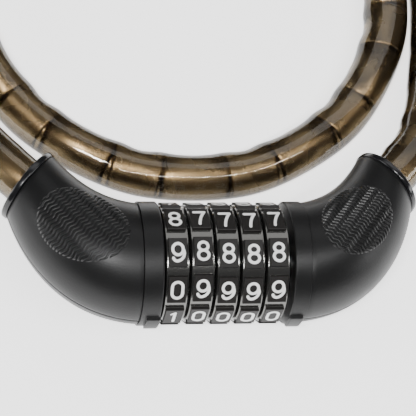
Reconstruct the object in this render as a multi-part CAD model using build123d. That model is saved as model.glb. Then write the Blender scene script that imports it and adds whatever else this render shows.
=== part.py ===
from build123d import *
import math
import os

# Five-dial combination lock on an armoured cable, in millimetres, +Z up, resting on z = 0.
# The lock body holds five number dials on a spindle tube. A toothed bolt slides out of the
# spindle along +X when every code ring's notch faces the teeth. Both ends of the cable are
# anchored in hollow elbows, and the cable lies on the surface in two turns.
# The shapes are drawn with x = 0 at the middle of the dials and y = 0 on the dial axis, and
# save() moves them so that the lock body's box is centred over the origin.

os.makedirs("parts", exist_ok=True)

ORIGIN_X = 0.32
ORIGIN_Y = -9.65
AXIS_Z = 22.7

# Dials
DIALS = 5
DIAL_PITCH = 9.2
DIAL_WIDTH = 8.8
DIAL_ROW = DIALS * DIAL_PITCH
FACET_APOTHEM = 22.0
FACET_ARC = 26.5
FACET_WIDTH = 6.7
FACET_LEFT = 0.95
FACET_CHAMFER = 0.18
SHOULDER_RADIUS = 21.1
SHOULDER_EDGE = 19.9
SHOULDER_BEVEL = 0.45
DIGIT_STEP = 36.0
FACET_ZERO = 10.15
DIAL_REST = [-0.4, -1.7, 0.7, 1.6, -0.1]
FIRST_DIGIT = [9, 8, 8, 8, 8]
KEY_WIDTH = 2.4
KEY_HEIGHT = 1.2

# Numerals, printed proud of the facets
DIGIT_HEIGHT = 7.4
DIGIT_WIDTH = 4.85
DIGIT_STROKE = 1.06
DIGIT_PROUD = 0.1

# Lock mechanism
RING_BORE = 8.28
RING_RADIUS = 13.0
RING_RECESS_RADIUS = 10.4
RING_RECESS_DEPTH = 3.6
RING_NOTCH = 4.6
DETENT_RADIUS = 0.8
SPINDLE_RADIUS = 8.2
SPINDLE_BORE = 6.3
SPINDLE_LEFT = -45.0
SPINDLE_RIGHT = 24.1
SPINDLE_BORE_LEFT = -28.5
SPINDLE_SLOT = 3.9
WASHER_RADIUS = 12.0
WASHER_THICK = 0.3
CLIP_RADIUS = 10.6
CLIP_LEFT = 23.25
CLIP_THICK = 0.7
BOLT_RADIUS = 6.0
BOLT_LEFT = -27.0
BOLT_RIGHT = 44.0
TOOTH_RADIUS = 9.9
TOOTH_WIDTH = 3.2
TOOTH_LENGTH = 3.0
SPRING_WIDTH = 4.0
SPRING_THICK = 0.5
SPRING_HEIGHT = 7.05
SPRING_BUMP = 1.15

# Housings
COLLAR_RADIUS = 22.8
COLLAR_WALL = 2.4
LEFT_COLLAR = (-30.5, -23.3)
RIGHT_COLLAR = (24.2, 30.5)
COLLAR_END_WALL = 2.0
INDEX_HALF_ANGLE = 12.0
INDEX_PROUD = 1.2
INDEX_LENGTH = 5.2
ELBOW_RADIUS = 22.2
ELBOW_WALL = 2.3
RIM_RADIUS = 14.2
ELBOW_SECTIONS = 5
SEAM_GAP = 0.1
LEFT_ELBOW = [(-30.5, 0.0), (-55.5, 2.5), (-68.0, 30.0)]
LEFT_TILT = 40.0
RIGHT_ELBOW = [(30.5, 0.0), (56.5, 3.0), (67.2, 30.9)]
RIGHT_TILT = 41.0
ENTRY_THICK = 2.5
ENTRY_RADIUS = 14.7
ENTRY_BORE = 9.4
BLOCK_RADIUS = 9.0
BLOCK_START = -36.0
BLOCK_LENGTH = 29.0
HUB_RADIUS = 11.5
FERRULE_RADIUS = 6.0
FERRULE_START = 10.0
FERRULE_LENGTH = 14.0
ANCHOR_PIN_RADIUS = 2.0
CROSS_PIN_RADIUS = 1.5
SPINDLE_PIN_X = -36.0
BOLT_PIN_X = 38.0
FIT = 0.05

# Cable
SHEATH_RADIUS = 9.0
SHEATH_BORE = 8.3
CORE_RADIUS = 4.0
SLEEVE_RADIUS = 7.8
SLEEVE_BORE = 4.8
SLEEVE_LIP = 5.2
BALL_RADIUS = 6.3
SOCKET_RADIUS = 6.6
SOCKET_DEPTH = 5.0
SLEEVE_GAP = 0.2
SHOULDER_START = 2.6
LONG_SLEEVE = 27.5
SHORT_SLEEVE = 19.0
LOOP_CENTRE = (-4.5, 127.0)
LOOP_INNER = 88.0
LOOP_PITCH = 19.4
LOOP_START = 236.8
LOOP_END = 413.3
LEFT_FLARE = 8.5
LEFT_FLARE_POWER = 1.6
RIGHT_FLARE = 12.5
RIGHT_FLARE_FROM = 372.0
ROUTE_STEPS = 2600
CABLE_Z = SHEATH_RADIUS
INSIDE_RUN = 3.0
FIRST_RUN = 16.5
LAST_RUN = 16.0
SPLIT_Y = 200.0
ROPE_GAP = 0.5
ARC_SHARE = 0.45


def save(name, shape):
    """Write one node's STEP file in the part's own frame."""
    placed = Pos(ORIGIN_X, ORIGIN_Y, 0) * shape
    export_step(Compound(children=list(placed.solids())), f"parts/{name}.step")
    volume = sum(s.volume for s in placed.solids())
    print(f"{name}: {len(placed.solids())} solids, {volume:.0f} mm3")


def bar(x_from, x_to, radius):
    """A round bar along the dial axis."""
    place = Location((x_from, 0, AXIS_Z), (0, 90, 0))
    return place * Cylinder(radius, x_to - x_from, align=(Align.CENTER, Align.CENTER, Align.MIN))


def axis_turn(angle):
    """The location that turns a shape drawn above the dial axis towards the outer side, -Y."""
    return Location((0, 0, AXIS_Z)) * Rotation(angle, 0, 0)


def slab(x_from, x_to, width, low, high):
    """A block above the dial axis, between two distances from the axis."""
    size = (x_to - x_from, width, high - low)
    return Pos((x_from + x_to) / 2, 0, (low + high) / 2) * Box(*size)


# ---------------------------------------------------------------- numerals


def line_stroke(start, end):
    """A straight pen stroke with round ends."""
    a, b = Vector(*start), Vector(*end)
    middle = (a + b) * 0.5
    angle = math.degrees(math.atan2(b.Y - a.Y, b.X - a.X))
    slot = SlotCenterToCenter((b - a).length, DIGIT_STROKE)
    return Location((middle.X, middle.Y, 0), (0, 0, angle)) * slot


def arc_stroke(start, middle, end):
    """A curved pen stroke with round ends through three points."""
    return SlotArc(ThreePointArc(start, middle, end), DIGIT_STROKE)


def ring_stroke(centre_y, half_width, half_height):
    """A closed oval pen stroke."""
    pen = DIGIT_STROKE / 2
    outer = Ellipse(half_width + pen, half_height + pen)
    inner = Ellipse(half_width - pen, half_height - pen)
    return Pos(0, centre_y) * (outer - inner)


def numeral(digit):
    """The outline of one digit, centred on the origin, upright along +Y."""
    top = (DIGIT_HEIGHT - DIGIT_STROKE) / 2
    side = (DIGIT_WIDTH - DIGIT_STROKE) / 2
    pen = DIGIT_STROKE / 2
    if digit == 0:
        outer = SlotOverall(DIGIT_HEIGHT, DIGIT_WIDTH, rotation=90)
        inner = SlotOverall(DIGIT_HEIGHT - 4 * pen, DIGIT_WIDTH - 4 * pen, rotation=90)
        return outer - inner
    if digit == 1:
        stem = line_stroke((0.3, top), (0.3, -top))
        return stem + line_stroke((0.3, top), (-0.9, top - 1.1))
    if digit == 2:
        bow = arc_stroke((-side, top - 1.5), (0.35, top), (side * 0.86, top - 2.9))
        diagonal = line_stroke((side * 0.86, top - 2.9), (-side, -top))
        return bow + diagonal + line_stroke((-side, -top), (side, -top))
    if digit == 3:
        upper = arc_stroke((-side, top - 0.7), (side * 0.9, 1.9), (-0.3, 0.5))
        lower = arc_stroke((-0.3, 0.5), (side, -1.6), (-side, -top + 0.9))
        return upper + lower
    if digit == 4:
        slant = line_stroke((0.5, top), (-side, -1.1))
        return slant + line_stroke((-side, -1.1), (side, -1.1)) + line_stroke((0.8, 1.0), (0.8, -top))
    if digit == 5:
        head = line_stroke((-side * 0.8, top), (side * 0.9, top))
        back = line_stroke((-side * 0.8, top), (-side, 0.4))
        return head + back + arc_stroke((-side, 0.4), (side, -0.9), (-side, -top + 0.8))
    if digit == 7:
        stem = arc_stroke((side, top), (0.25, -0.2), (-0.35, -top))
        return line_stroke((-side, top), (side, top)) + stem
    if digit == 8:
        small = top * 0.47
        large = top - small
        upper = ring_stroke(top - small, side * 0.88, small)
        return upper + ring_stroke(-top + large, side, large)
    bowl = ring_stroke(top - side * 1.08, side, side * 1.08)
    tail = arc_stroke((side, top - side * 1.1), (side * 0.62, -top * 0.8), (-0.35, -top))
    hook = arc_stroke((-0.35, -top), (-side * 0.62, -top * 0.92), (-side * 0.92, -top * 0.66))
    nine = bowl + tail + hook
    return Rotation(0, 0, 180) * nine if digit == 6 else nine


def facet_angle(index, step):
    """How far a facet stands from straight up, turning towards -Y."""
    return FACET_ZERO + DIAL_REST[index] + DIGIT_STEP * step


def numerals(index):
    """The ten digits of one dial, each lying on its facet and read from -Y."""
    middle_x = dial_left(index) + FACET_LEFT + FACET_WIDTH / 2
    shapes = []
    for step in range(10):
        digit = (FIRST_DIGIT[index] + step) % 10
        face = extrude(numeral(digit), DIGIT_PROUD)
        shapes.append(axis_turn(facet_angle(index, step)) * Pos(middle_x, 0, FACET_APOTHEM) * face)
    return Compound(children=[s for shape in shapes for s in shape.solids()])


# ---------------------------------------------------------------- dials and lock mechanism


def dial_left(index):
    """The left face of a dial."""
    return -DIAL_ROW / 2 + index * DIAL_PITCH + (DIAL_PITCH - DIAL_WIDTH) / 2


def dial(index):
    """A number dial: a round hub with bevelled shoulders and ten flat facets standing out."""
    left = dial_left(index)
    right = left + DIAL_WIDTH
    profile = Polyline(
        (left, RING_RADIUS + 0.1),
        (left, SHOULDER_EDGE),
        (left + SHOULDER_BEVEL, SHOULDER_RADIUS),
        (right - SHOULDER_BEVEL, SHOULDER_RADIUS),
        (right, SHOULDER_EDGE),
        (right, RING_RADIUS + 0.1),
        close=True,
    )
    section = Pos(0, 0, AXIS_Z) * make_face(Plane.XZ * profile)
    hub = revolve(section, Axis((0, 0, AXIS_Z), (1, 0, 0)), 360)
    half = FACET_APOTHEM * math.tan(math.radians(FACET_ARC / 2))
    start = left + FACET_LEFT
    block = slab(start, start + FACET_WIDTH, 2 * half, SHOULDER_RADIUS - 1.5, FACET_APOTHEM)
    block = chamfer(block.faces().sort_by(Axis.Z)[-1].edges(), FACET_CHAMFER)
    facets = [axis_turn(facet_angle(index, step)) * block for step in range(10)]
    keyway = slab(left - 1, right + 1, KEY_WIDTH + 2 * FIT, 0, RING_RADIUS + KEY_HEIGHT + FIT)
    return hub + facets - Pos(0, 0, AXIS_Z) * keyway


def code_ring(index):
    """The ring keyed inside a dial. Its one notch lets a bolt tooth through towards +X."""
    left = dial_left(index)
    right = left + DIAL_WIDTH
    ring = bar(left, right, RING_RADIUS) - bar(left - 1, right + 1, RING_BORE)
    ring -= bar(left - 1, left + RING_RECESS_DEPTH, RING_RECESS_RADIUS)
    key = slab(left, right, KEY_WIDTH, RING_RADIUS - 1, RING_RADIUS + KEY_HEIGHT)
    ring += Pos(0, 0, AXIS_Z) * key
    notch = slab(left - 1, right + 1, RING_NOTCH, 0, RING_RECESS_RADIUS)
    ring -= axis_turn(90) * notch
    for step in range(10):
        dimple = Pos(left + RING_RECESS_DEPTH / 2, 0, RING_RECESS_RADIUS) * Rotation(0, 90, 0)
        dimple *= Cylinder(DETENT_RADIUS, RING_RECESS_DEPTH)
        ring -= axis_turn(facet_angle(index, step) - FACET_ZERO) * dimple
    return ring


def spindle_tube():
    """The fixed tube that the dials turn on, slotted for the teeth and flattened for the spring."""
    tube = bar(SPINDLE_LEFT, SPINDLE_RIGHT, SPINDLE_RADIUS)
    tube -= bar(SPINDLE_BORE_LEFT, SPINDLE_RIGHT + 1, SPINDLE_BORE)
    slot = slab(SPINDLE_BORE_LEFT, SPINDLE_RIGHT + 1, SPINDLE_SLOT, 0, SPINDLE_RADIUS + 1)
    tube -= axis_turn(90) * slot
    flat = slab(-DIAL_ROW / 2 - 1, SPINDLE_RIGHT - 1.5, SPRING_WIDTH + 0.2, SPRING_HEIGHT - FIT, 12)
    tube -= Pos(0, 0, AXIS_Z) * flat
    hole = Pos(SPINDLE_PIN_X, 0, AXIS_Z) * Cylinder(CROSS_PIN_RADIUS + FIT, 40)
    return tube - hole


def spacer_washers():
    """Thin washers between the dials, cut away where the teeth and the spring pass."""
    washers = []
    for index in range(DIALS + 1):
        middle = -DIAL_ROW / 2 + index * DIAL_PITCH
        left = middle - WASHER_THICK / 2
        right = middle + WASHER_THICK / 2
        washer = bar(left, right, WASHER_RADIUS) - bar(left - 1, right + 1, SPINDLE_RADIUS + FIT)
        washer -= axis_turn(90) * slab(left - 1, right + 1, SPINDLE_SLOT, 0, RING_RECESS_RADIUS)
        washers.append(washer)
    return Compound(children=[s for w in washers for s in w.solids()])


def detent_leaf_spring():
    """A spring strip along the top of the spindle, with one rounded bump under each code ring."""
    left = -DIAL_ROW / 2 + 0.5
    right = DIAL_ROW / 2 - 0.8
    strip = slab(left, right, SPRING_WIDTH, SPRING_HEIGHT, SPRING_HEIGHT + SPRING_THICK)
    for index in range(DIALS):
        middle = dial_left(index) + RING_RECESS_DEPTH / 2
        bump = Pos(middle, 0, SPRING_HEIGHT + SPRING_THICK + SPRING_BUMP - 0.1) * Rotation(90, 0, 0)
        strip += bump * Cylinder(SPRING_BUMP, SPRING_WIDTH - 1)
    return Pos(0, 0, AXIS_Z) * strip


def retaining_clip():
    """The split ring that keeps the dials on the spindle, with its gap at the teeth."""
    clip = bar(CLIP_LEFT, CLIP_LEFT + CLIP_THICK, CLIP_RADIUS)
    clip -= bar(CLIP_LEFT - 1, CLIP_LEFT + 2, SPINDLE_RADIUS + FIT)
    return clip - axis_turn(90) * slab(CLIP_LEFT - 1, CLIP_LEFT + 2, RING_NOTCH, 0, CLIP_RADIUS + 1)


def bolt_pin():
    """The bolt: a round rod with one tooth for each code ring on its outer side."""
    rod = bar(BOLT_LEFT, BOLT_RIGHT, BOLT_RADIUS)
    rod = chamfer(rod.faces().sort_by(Axis.X)[0].edges(), 1.2)
    for index in range(DIALS):
        start = dial_left(index) + (RING_RECESS_DEPTH - TOOTH_LENGTH) / 2
        tooth = slab(start, start + TOOTH_LENGTH, TOOTH_WIDTH, BOLT_RADIUS - 2, TOOTH_RADIUS)
        rod += axis_turn(90) * tooth
    return rod - Pos(BOLT_PIN_X, 0, AXIS_Z) * Cylinder(CROSS_PIN_RADIUS + FIT, 40)


# ---------------------------------------------------------------- housings


def above_floor(shape):
    """Cut away what would reach below the resting surface."""
    return shape - Pos(0, 0, -10) * Box(400, 400, 20)


def collar(x_range, wall_side):
    """A collar beside the dials: a short sleeve with an end wall, an index boss and a flat foot."""
    left, right = x_range
    ring = bar(left, right, COLLAR_RADIUS) - bar(left - 1, right + 1, COLLAR_RADIUS - COLLAR_WALL)
    wall_left = right - COLLAR_END_WALL if wall_side > 0 else left
    wall = bar(wall_left, wall_left + COLLAR_END_WALL, COLLAR_RADIUS - 1)
    bore = SPINDLE_RADIUS + FIT if wall_side > 0 else BOLT_RADIUS + FIT
    ring += wall - bar(wall_left - 1, wall_left + 4, bore)
    boss_left = right - INDEX_LENGTH if wall_side > 0 else left
    boss = bar(boss_left, boss_left + INDEX_LENGTH, COLLAR_RADIUS + INDEX_PROUD)
    boss -= bar(boss_left - 1, boss_left + 10, COLLAR_RADIUS - 1)
    height = 2 * COLLAR_RADIUS * math.sin(math.radians(INDEX_HALF_ANGLE))
    boss &= Pos(boss_left, -COLLAR_RADIUS, AXIS_Z) * Box(30, 12, height)
    return above_floor(ring + boss)


def elbow_centre(curve, share):
    """A point on the elbow's centre line, a quadratic curve from the collar to the rim."""
    weights = ((1 - share) ** 2, 2 * share * (1 - share), share**2)
    x = sum(w * p[0] for w, p in zip(weights, curve))
    y = sum(w * p[1] for w, p in zip(weights, curve))
    return x, y


def elbow_form(curve, tilt, side, inset, extend=0.0):
    """The elbow's solid form: tilting, tapering round sections from the collar to the rim."""
    sections = []
    for step in range(ELBOW_SECTIONS):
        share = step / (ELBOW_SECTIONS - 1)
        x, y = elbow_centre(curve, share)
        angle = math.radians(tilt * share)
        direction = Vector(side * math.cos(angle), math.sin(angle), 0)
        if step == 0:
            x -= side * extend
        if step == ELBOW_SECTIONS - 1:
            x, y = x + direction.X * extend, y + direction.Y * extend
        radius = ELBOW_RADIUS + (RIM_RADIUS - ELBOW_RADIUS) * share**2 - inset
        sections.append(Plane(origin=(x, y, AXIS_Z), x_dir=(0, 0, 1), z_dir=direction) * Circle(radius))
    return loft(sections)


def elbow_shells(curve, tilt, side):
    """The hollow elbow, split along its middle plane into an upper and a lower shell."""
    outside = elbow_form(curve, tilt, side, 0)
    hollow = elbow_form(curve, tilt, side, ELBOW_WALL, 0.5)
    block = Box(200, 200, 60, align=(Align.CENTER, Align.CENTER, Align.MIN))
    shells = []
    for low in (AXIS_Z + SEAM_GAP / 2, AXIS_Z - SEAM_GAP / 2 - 60):
        half = Pos(0, 0, low) * block
        shells.append((outside & half) - (hollow & half))
    return shells[0], above_floor(shells[1])


def exit_direction(tilt, side):
    """The way the cable leaves an elbow."""
    angle = math.radians(tilt)
    return Vector(side * math.cos(angle), math.sin(angle), 0)


def along_exit(curve, tilt, side, start, length, radius):
    """A round bar on the cable's exit line, measured outwards from the rim's centre."""
    direction = exit_direction(tilt, side)
    rim = Vector(*curve[2], AXIS_Z)
    plane = Plane(origin=rim + direction * start, x_dir=(0, 0, 1), z_dir=direction)
    return plane * Cylinder(radius, length, align=(Align.CENTER, Align.CENTER, Align.MIN))


def entry_ring(curve, tilt, side):
    """The ring that closes an elbow's rim around the cable."""
    ring = along_exit(curve, tilt, side, 0, ENTRY_THICK, ENTRY_RADIUS)
    ring = chamfer(ring.edges().filter_by(GeomType.CIRCLE), 0.5)
    return ring - along_exit(curve, tilt, side, -1, ENTRY_THICK + 2, ENTRY_BORE)


def ferrule(curve, tilt, side):
    """The crimped end of the steel rope, drilled for its anchor pin."""
    body = along_exit(curve, tilt, side, -FERRULE_START - FERRULE_LENGTH, FERRULE_LENGTH, FERRULE_RADIUS)
    return body - anchor_pin(curve, tilt, side, ANCHOR_PIN_RADIUS + FIT)


def anchor_pin(curve, tilt, side, radius=ANCHOR_PIN_RADIUS):
    """The upright pin through the anchor block and the ferrule."""
    middle = Vector(*curve[2], AXIS_Z)
    middle -= exit_direction(tilt, side) * (FERRULE_START + FERRULE_LENGTH / 2)
    return Pos(middle.X, middle.Y, AXIS_Z) * Cylinder(radius, 2 * BLOCK_RADIUS)


def anchor_block(curve, tilt, side, hub_range, shaft, pin_x):
    """The metal block that ties an elbow's cable end to the spindle or to the bolt."""
    block = along_exit(curve, tilt, side, BLOCK_START, BLOCK_LENGTH, BLOCK_RADIUS)
    block += bar(*hub_range, HUB_RADIUS)
    block -= bar(hub_range[0], hub_range[1] + 1, shaft + FIT)
    bore = along_exit(curve, tilt, side, -FERRULE_START - FERRULE_LENGTH - FIT, 30, FERRULE_RADIUS + FIT)
    block -= bore
    block -= anchor_pin(curve, tilt, side, ANCHOR_PIN_RADIUS + FIT)
    return block - Pos(pin_x, 0, AXIS_Z) * Cylinder(CROSS_PIN_RADIUS + FIT, 40)


def cross_pin(x):
    """The pin that ties the spindle or the bolt to its anchor block."""
    return Pos(x, 0, AXIS_Z) * Cylinder(CROSS_PIN_RADIUS, 2 * HUB_RADIUS)


# ---------------------------------------------------------------- cable


def ease(share):
    """A smooth start and stop between 0 and 1."""
    return share - math.sin(2 * math.pi * share) / (2 * math.pi)


def loop_point(turned):
    """A point of the two turns, after turning clockwise by some degrees from the left rim."""
    outer = LOOP_INNER + LOOP_PITCH
    middle = LOOP_INNER + LOOP_PITCH / 2
    polar = LOOP_START - turned
    height = CABLE_Z
    if polar > 180:
        share = turned / (LOOP_START - 180)
        radius = outer + LEFT_FLARE * (1 - share) ** LEFT_FLARE_POWER
        height += (AXIS_Z - CABLE_Z) * (1 - ease(share))
    elif polar > 0:
        radius = middle + LOOP_PITCH / 2 * math.cos(math.pi * ease(1 - polar / 180))
    elif polar > -180:
        radius = LOOP_INNER
    elif polar > -360:
        phase = math.pi * ease(-(polar + 180) / 180)
        radius = middle - LOOP_PITCH / 2 * math.cos(phase)
        height += LOOP_PITCH * math.sin(phase)
    else:
        radius = outer
        height += (AXIS_Z - CABLE_Z) * ease(-(polar + 360) / (LOOP_END - 360))
    if polar < -RIGHT_FLARE_FROM:
        share = (-RIGHT_FLARE_FROM - polar) / (LOOP_END - RIGHT_FLARE_FROM)
        radius += RIGHT_FLARE * ease(share)
    angle = math.radians(polar)
    x = LOOP_CENTRE[0] + radius * math.cos(angle)
    y = LOOP_CENTRE[1] + radius * math.sin(angle)
    return Vector(x, y, height)


def cable_route():
    """The sleeve joints: long and short runs in turn round the loop, and an end in each elbow."""
    whole_turn = LOOP_START + LOOP_END
    points = [loop_point(whole_turn * i / ROUTE_STEPS) for i in range(ROUTE_STEPS + 1)]
    reach = [0.0]
    for a, b in zip(points, points[1:]):
        reach.append(reach[-1] + (b - a).length)
    marks = [FIRST_RUN]
    sleeve = 0
    while marks[-1] < reach[-1] - LAST_RUN:
        marks.append(marks[-1] + (LONG_SLEEVE if sleeve % 2 else SHORT_SLEEVE))
        sleeve += 1
    stretch = (reach[-1] - FIRST_RUN - LAST_RUN) / (marks[-1] - FIRST_RUN)
    marks = [FIRST_RUN + (m - FIRST_RUN) * stretch for m in marks]
    route = [Vector(*LEFT_ELBOW[2], AXIS_Z) - exit_direction(LEFT_TILT, -1) * INSIDE_RUN]
    for mark in marks:
        i = min(range(ROUTE_STEPS + 1), key=lambda k: abs(reach[k] - mark))
        route.append(points[i])
    route.append(Vector(*RIGHT_ELBOW[2], AXIS_Z) - exit_direction(RIGHT_TILT, 1) * INSIDE_RUN)
    return route


def corner(before, point, after):
    """The tangent arc at a corner of the route: its ends, its middle and its radius."""
    into = (point - before).normalized()
    out = (after - point).normalized()
    turn = math.radians(into.get_angle(out))
    cut = ARC_SHARE * min((point - before).length, (after - point).length)
    radius = cut / math.tan(turn / 2)
    bisector = (out - into).normalized()
    centre = point + bisector * (radius / math.cos(turn / 2))
    middle = centre - bisector * radius
    return point - into * cut, middle, point + out * cut, radius


def tangent_path(route):
    """Straight runs joined by tangent arcs, and the arcs' radii."""
    edges = []
    radii = []
    here = route[0]
    for before, point, after in zip(route, route[1:], route[2:]):
        start, middle, end, radius = corner(before, point, after)
        edges.append(Line(here, start))
        edges.append(ThreePointArc(start, middle, end))
        radii.append(radius)
        here = end
    edges.append(Line(here, route[-1]))
    return Wire([e for piece in edges for e in piece.edges()]), radii


def tube(route, radius, bore=0.0):
    """A tube or a rope along the route, checked against its section times its length."""
    path, radii = tangent_path(route)
    ring = Circle(radius) - Circle(bore) if bore else Circle(radius)
    plane = Plane(origin=path @ 0, z_dir=path % 0)
    body = sweep(plane * ring, path=path)
    expected = math.pi * (radius**2 - bore**2) * path.length
    print(f"  tube length {path.length:.1f}, volume / expected {body.volume / expected:.4f}")
    return body, path.length, radii


def long_sleeve(length):
    """A long steel sleeve with a rounded ball end on each joint, drawn along +Z."""
    half = length / 2
    neck = half - SHOULDER_START
    throat = math.sqrt(BALL_RADIUS**2 - SHOULDER_START**2)
    lip = math.sqrt(BALL_RADIUS**2 - SLEEVE_LIP**2)
    barrel = Polyline(
        (throat, -neck),
        (SLEEVE_RADIUS - 0.4, -neck),
        (SLEEVE_RADIUS, -neck + 0.8),
        (SLEEVE_RADIUS, neck - 0.8),
        (SLEEVE_RADIUS - 0.4, neck),
        (throat, neck),
    )
    top_ball = ThreePointArc((throat, neck), (BALL_RADIUS, half), (SLEEVE_LIP, half + lip))
    bore = Polyline(
        (SLEEVE_LIP, half + lip),
        (SLEEVE_BORE, half + lip),
        (SLEEVE_BORE, -half - lip),
        (SLEEVE_LIP, -half - lip),
    )
    low_ball = ThreePointArc((SLEEVE_LIP, -half - lip), (BALL_RADIUS, -half), (throat, -neck))
    outline = Curve() + [barrel, top_ball, bore, low_ball]
    return revolve(make_face(Plane.XZ * outline), Axis.Z, 360)


def short_sleeve(length):
    """A short steel sleeve with an open socket at each end, drawn along +Z."""
    half = length / 2 + SLEEVE_GAP
    barrel = chamfer(Cylinder(SLEEVE_RADIUS, 2 * half).edges().filter_by(GeomType.CIRCLE), 0.4)
    barrel -= Cylinder(SLEEVE_BORE, 3 * half)
    for turn in (0, 180):
        socket = Cylinder(SOCKET_RADIUS, SOCKET_DEPTH, align=(Align.CENTER, Align.CENTER, Align.MAX))
        barrel -= Rotation(turn, 0, 0) * Pos(0, 0, half) * socket
    return barrel


def sleeves(route, first, last, long_ones):
    """The long or the short sleeves between two joints of the route."""
    placed = []
    for index in range(first, last):
        is_long = index % 2 == 0
        if is_long != long_ones:
            continue
        start, end = route[index], route[index + 1]
        axis = (end - start).normalized()
        make = long_sleeve if is_long else short_sleeve
        shape = make((end - start).length)
        placed.append(Plane(origin=(start + end) * 0.5, z_dir=axis) * shape)
    return Compound(children=[s for shape in placed for s in shape.solids()])


def make_cable():
    """The rope, the sleeves and the clear sheath, in a fixed length and a length that follows the bolt."""
    route = cable_route()
    split = max(i for i in range(len(route)) if route[i].Y > SPLIT_Y)
    halfway = (route[split] + route[split + 1]) * 0.5
    main = route[: split + 1] + [halfway]
    end = [halfway] + route[split + 1 :]
    inward = FERRULE_START - INSIDE_RUN - ROPE_GAP
    left_end = route[0] - exit_direction(LEFT_TILT, -1) * inward
    right_end = route[-1] - exit_direction(RIGHT_TILT, 1) * inward
    total = 0.0
    for name, points in (("main", main), ("end", end)):
        sheath, length, radii = tube(points, SHEATH_RADIUS, SHEATH_BORE)
        save(f"sheath_{name}", sheath)
        print("  arc radii:", " ".join(f"{r:.0f}" for r in radii))
        total += length
        rope_points = [left_end] + points[1:] if name == "main" else points[:-1] + [right_end]
        save(f"core_{name}", tube(rope_points, CORE_RADIUS)[0])
    print(f"  sheath length {total:.1f}")
    joints = len(route) - 1
    save("sleeves_long_main", sleeves(route, 0, split + 1, True))
    save("sleeves_short_main", sleeves(route, 0, split + 1, False))
    save("sleeves_long_end", sleeves(route, split + 1, joints, True))
    save("sleeves_short_end", sleeves(route, split + 1, joints, False))
    print("  route:", " ".join(f"({p.X:.1f},{p.Y:.1f},{p.Z:.1f})" for p in route))


def make_dials():
    """The moving number dials with their digits and code rings."""
    for index in range(DIALS):
        save(f"dial_{index + 1}", dial(index))
        save(f"numerals_{index + 1}", numerals(index))
        save(f"code_ring_{index + 1}", code_ring(index))


def make_mechanism():
    """The fixed spindle with its fittings, and the bolt."""
    save("spindle_tube", spindle_tube())
    save("spacer_washers", spacer_washers())
    save("detent_leaf_spring", detent_leaf_spring())
    save("retaining_clip", retaining_clip())
    save("bolt_pin", bolt_pin())


def make_end(name, curve, tilt, side, collar_range, hub_range, shaft, pin_x):
    """One end of the lock: collar, elbow shells, entry ring and the cable's anchor."""
    upper, lower = elbow_shells(curve, tilt, side)
    save(f"{name}_elbow_upper", upper)
    save(f"{name}_elbow_lower", lower)
    save(f"{name}_collar", collar(collar_range, -side))
    save(f"{name}_entry_ring", entry_ring(curve, tilt, side))
    save(f"{name}_anchor_block", anchor_block(curve, tilt, side, hub_range, shaft, pin_x))
    save(f"{name}_ferrule", ferrule(curve, tilt, side))
    save(f"{name}_anchor_pin", anchor_pin(curve, tilt, side))
    save(f"{name}_cross_pin", cross_pin(pin_x))


make_dials()
make_mechanism()
make_end("left", LEFT_ELBOW, LEFT_TILT, -1, LEFT_COLLAR, (SPINDLE_LEFT, -27.0), SPINDLE_RADIUS, SPINDLE_PIN_X)
make_end("right", RIGHT_ELBOW, RIGHT_TILT, 1, RIGHT_COLLAR, (27.0, BOLT_RIGHT), BOLT_RADIUS, BOLT_PIN_X)
make_cable()
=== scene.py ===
# %% [markdown]
# A five-dial combination lock on an armoured cable. The frame holds every working part at its
# real size and place. The lock could be shown as those plain parts, but they can't carry the look
# of steel sleeves under a clear sheath, of soft edges or of ribbed grips. So this script gives the
# working parts their finish, and builds finer pieces where the eye goes.

# %% Load the frame
import math

import bmesh
import bpy
from mathutils import Matrix, Vector


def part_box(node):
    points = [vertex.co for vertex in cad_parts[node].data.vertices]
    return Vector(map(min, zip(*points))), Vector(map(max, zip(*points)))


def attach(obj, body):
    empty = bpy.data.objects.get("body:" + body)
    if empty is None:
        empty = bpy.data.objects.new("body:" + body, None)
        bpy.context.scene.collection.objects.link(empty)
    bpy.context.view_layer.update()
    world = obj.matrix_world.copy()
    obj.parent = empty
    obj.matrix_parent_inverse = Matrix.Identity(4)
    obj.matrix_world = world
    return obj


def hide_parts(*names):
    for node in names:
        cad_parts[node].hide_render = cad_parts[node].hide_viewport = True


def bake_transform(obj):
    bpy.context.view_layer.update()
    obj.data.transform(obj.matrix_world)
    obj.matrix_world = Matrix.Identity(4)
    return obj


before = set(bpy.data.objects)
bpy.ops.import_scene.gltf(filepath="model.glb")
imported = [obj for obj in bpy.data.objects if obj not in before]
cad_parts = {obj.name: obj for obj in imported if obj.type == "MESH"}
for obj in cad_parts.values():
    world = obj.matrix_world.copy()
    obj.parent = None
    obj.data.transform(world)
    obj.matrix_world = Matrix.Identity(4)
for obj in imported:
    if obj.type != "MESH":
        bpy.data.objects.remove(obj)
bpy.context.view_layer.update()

# %% [markdown]
# Everything on the lock is placed from the dial axis and the middle dial. Those two could be typed
# in, but then the pieces would part company whenever the lock moved. They are read from the frame
# instead: an upright pin stands on the axis, so the centre of its box gives the axis's height.

# %% Places that the pieces share
MM = 0.001
Z_UP = Vector((0, 0, 1))


def middle(node):
    """The centre of a node's box."""
    low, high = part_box(node)
    return (Vector(low) + Vector(high)) / 2


AXIS_Y = middle("left_cross_pin").y
AXIS_Z = middle("left_cross_pin").z
DIAL_X = middle("dial_3").x
print("dial axis at y", round(AXIS_Y, 4), "z", round(AXIS_Z, 4))
print("middle dial at x", round(DIAL_X, 4))


def lock_point(x, y, z=None):
    """A point given in millimetres from the middle dial, as the lock body is drawn."""
    height = AXIS_Z if z is None else z * MM
    return Vector((DIAL_X + x * MM, AXIS_Y + y * MM, height))


# %% [markdown]
# The camera looks down at the dials from the front and a little from the left. It aims past
# them, so that the dials sit low in the picture and the cable loop fills the top. A constraint
# could keep it pointed at a target, but a matrix built from three directions also fixes its roll.

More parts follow.
